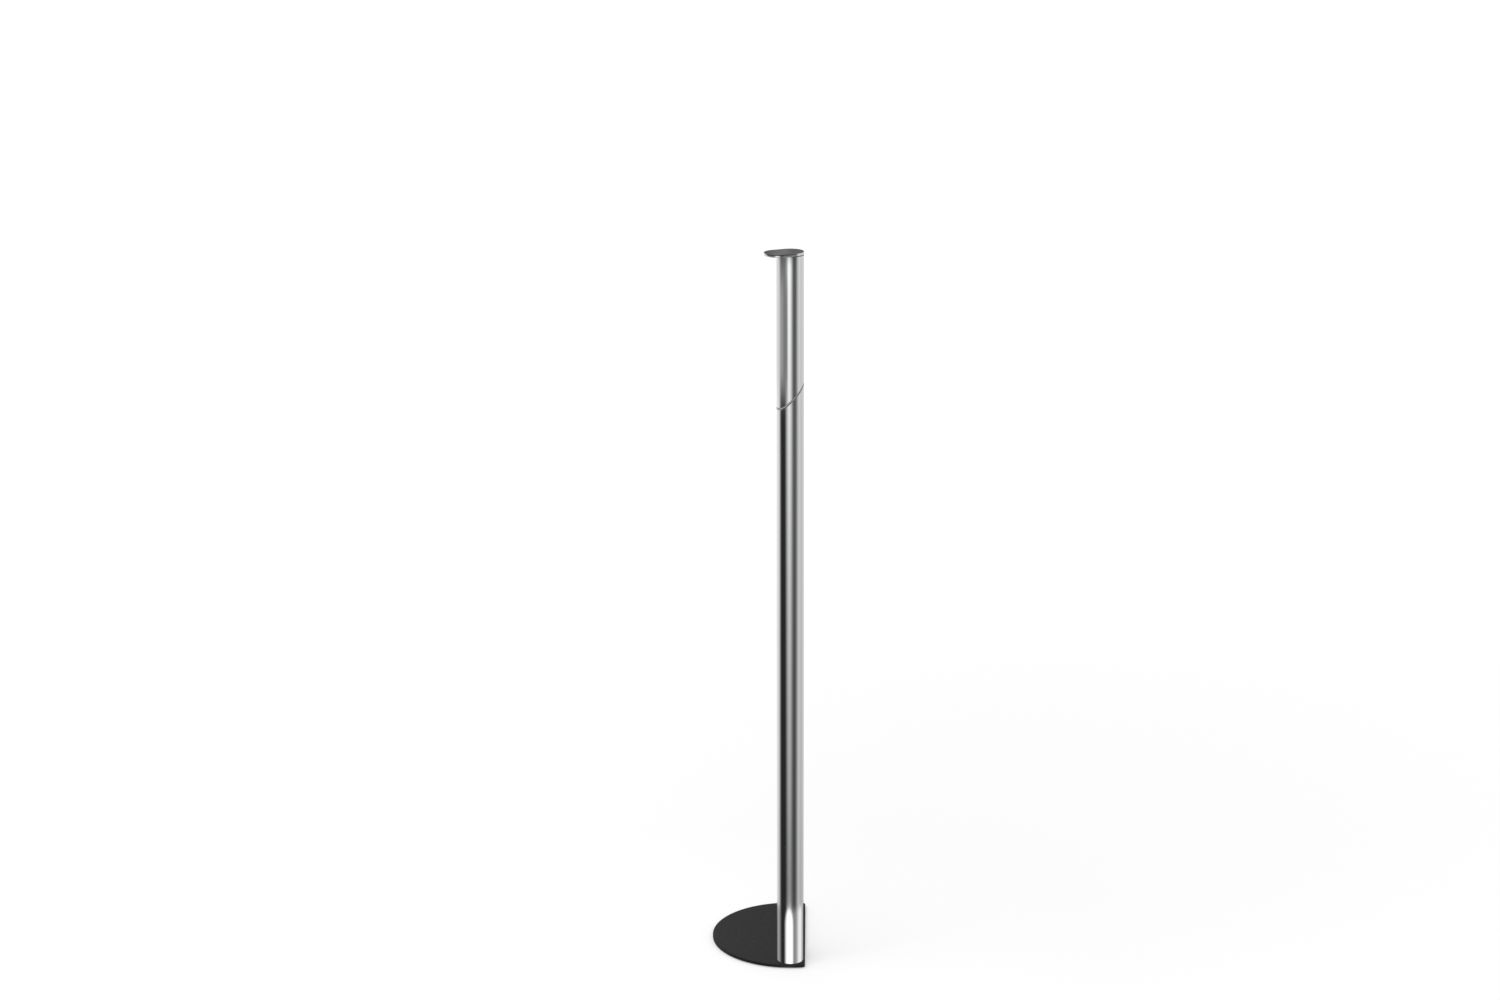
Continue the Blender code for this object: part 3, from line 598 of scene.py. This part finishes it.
def make_plate(finish):
    """Powder-coated plate, countersunk from below for the screw and bored for the dowel."""
    low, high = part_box("base_plate")
    levels = edge_levels(low.z, high.z, PLATE_EDGE_ROUND)
    plate = stacked_piece("base_plate_coated", plate_outline, levels, finish)
    screw_low, screw_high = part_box("base_screw")
    head = (screw_high.x - screw_low.x) / 2 + SCREW_HOLE_GAP
    shank = SCREW_SHANK_DIAMETER / 2 + SCREW_HOLE_GAP
    cone = screw_low.z + FIT_GAP
    points = [(0, low.z - OVERRUN), (head, low.z - OVERRUN), (head, cone),
              (shank, cone + head - shank), (shank, high.z + OVERRUN), (0, high.z + OVERRUN)]
    screw_hole = turned_piece("screw_hole", plain_profile(points), None, POST_AXIS, facets=HOLE_FACETS)
    dowel_low, dowel_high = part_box("base_dowel")
    middle = (dowel_low + dowel_high) / 2
    dowel_radius = (dowel_high.x - dowel_low.x) / 2 + FIT_GAP
    place = Matrix.Translation((middle.x, middle.y, 0))
    dowel_hole = rod_cutter("dowel_hole", dowel_radius, dowel_low.z - FIT_GAP, high.z + OVERRUN, place)
    combine(plate, "DIFFERENCE", screw_hole, dowel_hole)
    plate.visible_glossy = False
    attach(plate, "stand")
    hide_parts("base_plate")


def make_pad(finish):
    """Rubber sheet under the plate, open round the screw."""
    low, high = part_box("anti_slip_pad")
    levels = edge_levels(low.z, high.z, PAD_EDGE_ROUND, PAD_INSET)
    pad = stacked_piece("anti_slip_pad_cut", plate_outline, levels, finish)
    screw_low, screw_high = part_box("base_screw")
    radius = (screw_high.x - screw_low.x) / 2 + PAD_HOLE_MARGIN
    place = Matrix.Translation(POST_AXIS)
    hole = rod_cutter("pad_hole", radius, low.z - OVERRUN, high.z + OVERRUN, place)
    combine(pad, "DIFFERENCE", hole)
    pad.visible_glossy = False
    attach(pad, "stand")
    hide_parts("anti_slip_pad")


def finish_inner_nodes():
    """Finishes of the inner pieces, which keep their CAD shapes."""
    # Real turning marks are about 0.1 mm apart; these are drawn 0.3 to 0.8 mm apart, so that they show
    finishes = {
        # Satin grey with bright turning marks
        "machined_steel": machined_metal(
            "turned_free_cutting_steel", colours=("#9EA0A2", "#B0B2B4"), roughness=(0.25, 0.42),
            mark_size=0.5 * MM),
        # Oiled black with a dull metal sheen
        "black_oxide_screw": machined_metal(
            "black_oxide_steel", colours=("#232325", "#303033"), roughness=(0.35, 0.5),
            mark_size=0.3 * MM, metallic=0.8),
        # Blue-grey from hardening, darker than the turned parts
        "spring_steel": machined_metal(
            "blued_spring_steel", colours=("#63686D", "#757A80"), roughness=(0.3, 0.45),
            mark_size=0.8 * MM),
    }
    for entry in frame["record"]["subparts"]:
        finish = finishes.get(entry["material_slot"])
        if finish:
            materials = frame["nodes"][entry["node"]].data.materials
            materials.clear()
            materials.append(finish)


def smooth(start, end, value):
    """Smooth step of a value: 0 at the start and 1 at the end, whichever of the two is higher."""
    share = min(max((value - start) / (end - start), 0.0), 1.0)
    return share * share * (3 - 2 * share)


def band(heading, centre, core, reach):
    """Share of an evenly soft card: 1 up to its core and 0 past its reach, in degrees from its centre."""
    apart = abs((heading - centre + 180) % 360 - 180)
    return 1 - smooth(core, reach, apart)


def card(heading, left, core_left, core_right, right):
    """Share of a card whose two edges are not equally soft: 1 in its core, 0 outside left and right."""
    return smooth(left, core_left, heading) * (1 - smooth(core_right, right, heading))


def all_round(heading):
    """Share of what goes all round the tent."""
    return 1.0


# Studio: a tent of light round the post, which only the polished metal sees
TENT_RADIUS = 450 * MM
TENT_HEIGHT = 1600 * MM
TENT_LIFT = 0.2 * MM
TENT_STEP = 5 * MM
TENT_DETAIL = 1200 * MM
TENT_TOP_STEP = 20 * MM
TENT_COLUMNS = 360
MIRROR_TRIES = 12

# A path runs from the post out along the tent's floor and up its wall, in metres. A zone grows from 0 to 1
# between its two paths.
TENT_ZONES = {
    "foot": (0.158, 0.14),
    "low": (0.9, 0.3),
    "arm": (0.881, 0.93),
    "arm_end": (1.0, 1.045),
    "bright_end": (1.01, 1.045),
    "tip": (1.044, 1.048),
    "above": (1.12, 1.18),
    "top": (1.6, 1.9),
}
ARM_END_LOSS = 0.55
RISE_START = 0.15
RISE_POWER = 1.7
ARCH_START = 0.112
ARCH_DEPTH = 0.042
ARCH_LEAST = 0.0001
BOARD_FADE = (0.02, 0.4)

# Brightness of the bare cloth. A number that changes along the path is the sum of what each zone brings, and
# "all" is there on every path.
TENT_CLOTH = {"all": 0.575, "path": 0.25}

# What hangs in the tent, in order. A layer that covers takes the place of what is behind it, and one that
# adds lightens or darkens it. Then come its brightness, its form, the form's headings and how much of it
# is there. Headings are degrees from the camera, positive to the right.
TENT_LAYERS = (
    # Bright front, brighter towards the arm: the broad pale streak down the tube
    ("cover", {"all": 0.37, "rise": 1.08, "arm_rise": 0.06, "bright_end": 0.2}, band, (-6, 35, 60), 1),
    # Lights behind the post: the pale line down the tube's left edge. Its right edge darkens at the foot
    ("add", {"all": 0.15, "arm": -0.1, "foot": -0.32}, band, (-145, 40, 60), 1),
    ("add", {"all": 0.4, "foot": -0.8}, band, (-158, 6, 22), 1),
    ("add", -0.5, band, (160, 8, 22), {"foot": 1}),
    # Soft dip beside the right edge, and at the foot a white patch in its place
    ("add", -0.1, band, (108, 5, 25), 1),
    ("cover", 1.12, card, (55, 90, 102, 130), {"foot": 1}),
    # Wide dark streak left of the middle, grey along the arm, where its right part is darker again
    ("cover", {"all": 0.025, "dim_arm": 0.365}, card,
     ({"all": -110, "low": -10}, {"all": -72, "low": -5}, {"all": -46, "low": 2}, -5), 1),
    ("cover", 0.25, card, (-64, -50, -30, -10), {"dim_arm": 1}),
    # Narrow dark streak right of the middle, which fades at the foot
    ("cover", {"all": 0.118, "low": -0.04, "foot": 0.24}, band,
     ({"all": 38, "low": -2, "arm": -1}, 5, {"all": 45, "foot": -8}), 1),
    # Dim cloth right behind the post, which darkens the tube's outline
    ("cover", 0.25, band, (180, 6, 30), 0.6),
    # White board on the floor with a rounded far end, between the two dark streaks of the foot
    ("cover", 1.45, card,
     ({"all": -9, "arch": -47}, {"all": -9, "arch": -13},
      {"all": -9, "arch": 23}, {"all": -8.9, "arch": 44}), {"board": 1}),
    # Dark band just above what the arm's tip mirrors, for the cap's rim
    ("cover", 0.05, card, (-120, -90, 42, 65), {"tip": 0.92}),
    # Dim upper wall with one thin paler line, for the cap's flat top
    ("cover", 0.12, all_round, (), {"above": 1}),
    ("add", 0.075, band, (181, 0.4, 2.2), {"above": 1}),
    # Grey under the roof
    ("cover", 0.3, all_round, (), {"top": 1}),
)


def tent_zones(path):
    """How much of each zone there is on a path."""
    zones = {name: smooth(start, end, path) for name, (start, end) in TENT_ZONES.items()}
    zones["all"] = 1.0
    zones["path"] = path
    zones["dim_arm"] = zones["arm"] * (1 - ARM_END_LOSS * zones["arm_end"])
    zones["rise"] = max(0.0, path - RISE_START) ** RISE_POWER
    zones["arm_rise"] = zones["arm"] * zones["rise"]
    zones["arch"] = math.sqrt(max(ARCH_LEAST, 1 - (max(0.0, path - ARCH_START) / ARCH_DEPTH) ** 2))
    zones["board"] = smooth(*BOARD_FADE, zones["arch"])
    return zones


def in_zones(value, zones):
    """A plain number as it is, or the sum of what each zone brings."""
    if isinstance(value, dict):
        return sum(change * zones[zone] for zone, change in value.items())
    return value


def streak_heading(heading, path):
    """Heading of the far point that the tube mirrors in the same streak as a near one.

    A ray leaves the tube's wall, not its axis, so near the foot headings crowd together.
    """
    reach = min(1.0, TUBE_RADIUS / path)
    aim = math.radians(heading)
    turn = aim / 2
    for _ in range(MIRROR_TRIES):
        turn = (aim + math.asin(reach * math.sin(turn))) / 2
    return math.degrees(2 * turn)


def tent_ring(path):
    """Brightness of the tent on a path, for each of its columns."""
    zones = tent_zones(path)
    cloth = in_zones(TENT_CLOTH, zones)
    layers = []
    for way, level, form, headings, amount in TENT_LAYERS:
        places = [in_zones(heading, zones) for heading in headings]
        layers.append((way == "cover", in_zones(level, zones), form, places, in_zones(amount, zones)))
    glows = []
    for column in range(TENT_COLUMNS):
        streak = streak_heading((360 * column / TENT_COLUMNS + 180) % 360 - 180, path)
        glow = cloth
        for covers, level, form, places, amount in layers:
            behind = glow if covers else 0.0
            glow += (level - behind) * amount * form(streak, *places)
        glows.append(max(glow, 0.0))
    return glows


def studio_material(name):
    """Material without nodes yet for a thing in the studio, whose glow is not sampled as a lamp."""
    material = bpy.data.materials.new(name)
    material.use_nodes = True
    material.cycles.emission_sampling = "NONE"
    material.node_tree.nodes.clear()
    return material


def build_tent():
    """Tent of light round the post: floor, round wall and roof, seen in reflections alone."""
    paths = [TENT_STEP * step for step in range(1, round(TENT_DETAIL / TENT_STEP) + 1)]
    top_steps = round((TENT_RADIUS + TENT_HEIGHT - TENT_DETAIL) / TENT_TOP_STEP)
    paths += [TENT_DETAIL + TENT_TOP_STEP * step for step in range(1, top_steps + 1)]
    vertices, glows = [], []
    for path in paths:
        out = min(path, TENT_RADIUS)
        up = TENT_LIFT + max(0.0, path - TENT_RADIUS)
        for column in range(TENT_COLUMNS):
            # Heading 0 points at the camera, along -Y
            turn = math.radians(360 * column / TENT_COLUMNS - 90)
            vertices.append((POST_AXIS.x + out * math.cos(turn), POST_AXIS.y + out * math.sin(turn), up))
        glows += tent_ring(path)
    faces = []
    for ring in range(len(paths) - 1):
        here = ring * TENT_COLUMNS
        above = here + TENT_COLUMNS
        for column in range(TENT_COLUMNS):
            beside = (column + 1) % TENT_COLUMNS
            faces.append((here + column, here + beside, above + beside, above + column))
    roof = (len(paths) - 1) * TENT_COLUMNS
    faces.append(tuple(range(roof, roof + TENT_COLUMNS)))
    mesh = bpy.data.meshes.new("light_tent")
    mesh.from_pydata(vertices, [], faces)
    mesh.attributes.new("glow", "FLOAT", "POINT").data.foreach_set("value", glows)
    tent = add_object("light_tent", mesh)
    tent.visible_camera = False
    tent.visible_diffuse = False
    tent.visible_shadow = False

    material = studio_material("tent_cloth")
    tree = material.node_tree
    glow = node(tree, "ShaderNodeAttribute", {"attribute_name": "glow"})
    shine = node(tree, "ShaderNodeEmission", None, {"Strength": glow.outputs["Fac"]})
    node(tree, "ShaderNodeOutputMaterial", None, {"Surface": shine.outputs["Emission"]})
    mesh.materials.append(material)


def seen_share(tree):
    """1 for a ray from the camera or from a mirror or glass, else 0."""
    path = node(tree, "ShaderNodeLightPath").outputs
    first = node(tree, "ShaderNodeMath", {"operation": "ADD"}, {
        0: path["Is Camera Ray"], 1: path["Is Glossy Ray"]})
    both = node(tree, "ShaderNodeMath", {"operation": "ADD", "use_clamp": True}, {
        0: first.outputs["Value"], 1: path["Is Transmission Ray"]})
    return both.outputs["Value"]


# Floor and light
FLOOR_RADIUS = 14.0
FLOOR_FACETS = 64
FLOOR_WHITE = "#E6E6E6"
FLOOR_FILL_NEAR = 0.28
FLOOR_FILL_FAR = 0.52
FLOOR_FILL_START = 0.3
FLOOR_FILL_END = 2.5
BACKDROP_WHITE = "#FFFFFF"
AMBIENT = 0.68
SOFTBOX_SIZE = 1.6
SOFTBOX_POWER = 18.0
SOFTBOX_PLACE = Vector((-0.7, -0.9, 2.1))
SOFTBOX_AIM = Vector((0, 0, 0.25))


def build_floor():
    """Pale floor that keeps the shadow and fades to the white of the backdrop."""
    shape = bmesh.new()
    bmesh.ops.create_circle(shape, cap_ends=True, radius=FLOOR_RADIUS, segments=FLOOR_FACETS)
    mesh = bpy.data.meshes.new("studio_floor")
    shape.to_mesh(mesh)
    shape.free()
    floor = add_object("studio_floor", mesh)

    material = studio_material("white_floor_paper")
    tree = material.node_tree
    paper = node(tree, "ShaderNodeBsdfDiffuse", None, {"Color": linear(FLOOR_WHITE)})
    place = node(tree, "ShaderNodeTexCoord").outputs["Object"]
    away = node(tree, "ShaderNodeVectorMath", {"operation": "LENGTH"}, {0: place})
    level = node(tree, "ShaderNodeMapRange", None, {
        "Value": away.outputs["Value"], "From Min": FLOOR_FILL_START, "From Max": FLOOR_FILL_END,
        "To Min": FLOOR_FILL_NEAR, "To Max": FLOOR_FILL_FAR})
    fill = node(tree, "ShaderNodeMath", {"operation": "MULTIPLY"}, {
        0: seen_share(tree), 1: level.outputs["Result"]})
    lift = node(tree, "ShaderNodeEmission", None, {"Strength": fill.outputs["Value"]})
    both = node(tree, "ShaderNodeAddShader", None, {0: paper.outputs["BSDF"], 1: lift.outputs["Emission"]})
    node(tree, "ShaderNodeOutputMaterial", None, {"Surface": both.outputs["Shader"]})
    mesh.materials.append(material)


def build_light():
    """White surroundings and one large softbox above, to the left of the camera."""
    world = bpy.data.worlds.new("white_studio")
    bpy.context.scene.world = world
    world.use_nodes = True
    tree = world.node_tree
    tree.nodes.clear()
    level = node(tree, "ShaderNodeMapRange", None, {
        "Value": seen_share(tree), "To Min": AMBIENT, "To Max": 1.0})
    white = node(tree, "ShaderNodeBackground", None, {
        "Color": linear(BACKDROP_WHITE), "Strength": level.outputs["Result"]})
    node(tree, "ShaderNodeOutputWorld", None, {"Surface": white.outputs["Background"]})

    lamp = bpy.data.lights.new("softbox", "AREA")
    lamp.shape = "SQUARE"
    lamp.size = SOFTBOX_SIZE
    lamp.energy = SOFTBOX_POWER
    softbox = add_object("softbox", lamp)
    softbox.location = SOFTBOX_PLACE
    softbox.rotation_euler = (SOFTBOX_PLACE - SOFTBOX_AIM).to_track_quat("Z", "Y").to_euler()


# Camera, as in the photograph
CAMERA_PLACE = Vector((0.0194, -2.6584, 1.1561))
CAMERA_YAW = math.radians(1.2275)
CAMERA_PITCH = math.radians(15.154)
CAMERA_ROLL = math.radians(0.2253)
CAMERA_LENS = 71.392
SENSOR_WIDTH = 36.0


def build_camera():
    """Camera at the photograph's height, distance and lens, without shift."""
    data = bpy.data.cameras.new("camera")
    data.lens = CAMERA_LENS
    data.sensor_width = SENSOR_WIDTH
    camera = add_object("camera", data)
    turn = Matrix.Rotation(CAMERA_YAW, 4, "Z") @ Matrix.Rotation(math.pi / 2 - CAMERA_PITCH, 4, "X")
    camera.matrix_world = Matrix.Translation(CAMERA_PLACE) @ turn @ Matrix.Rotation(-CAMERA_ROLL, 4, "Z")
    bpy.context.scene.camera = camera


build_camera()
make_tubes(mirror_polished_stainless())
make_seam_washer(skived_acetal())
make_cap(buffed_stainless_cap())
make_plate(matt_powder_coat())
make_pad(calendered_rubber())
finish_inner_nodes()
build_floor()
build_tent()
build_light()
bpy.context.scene.view_settings.view_transform = "Standard"
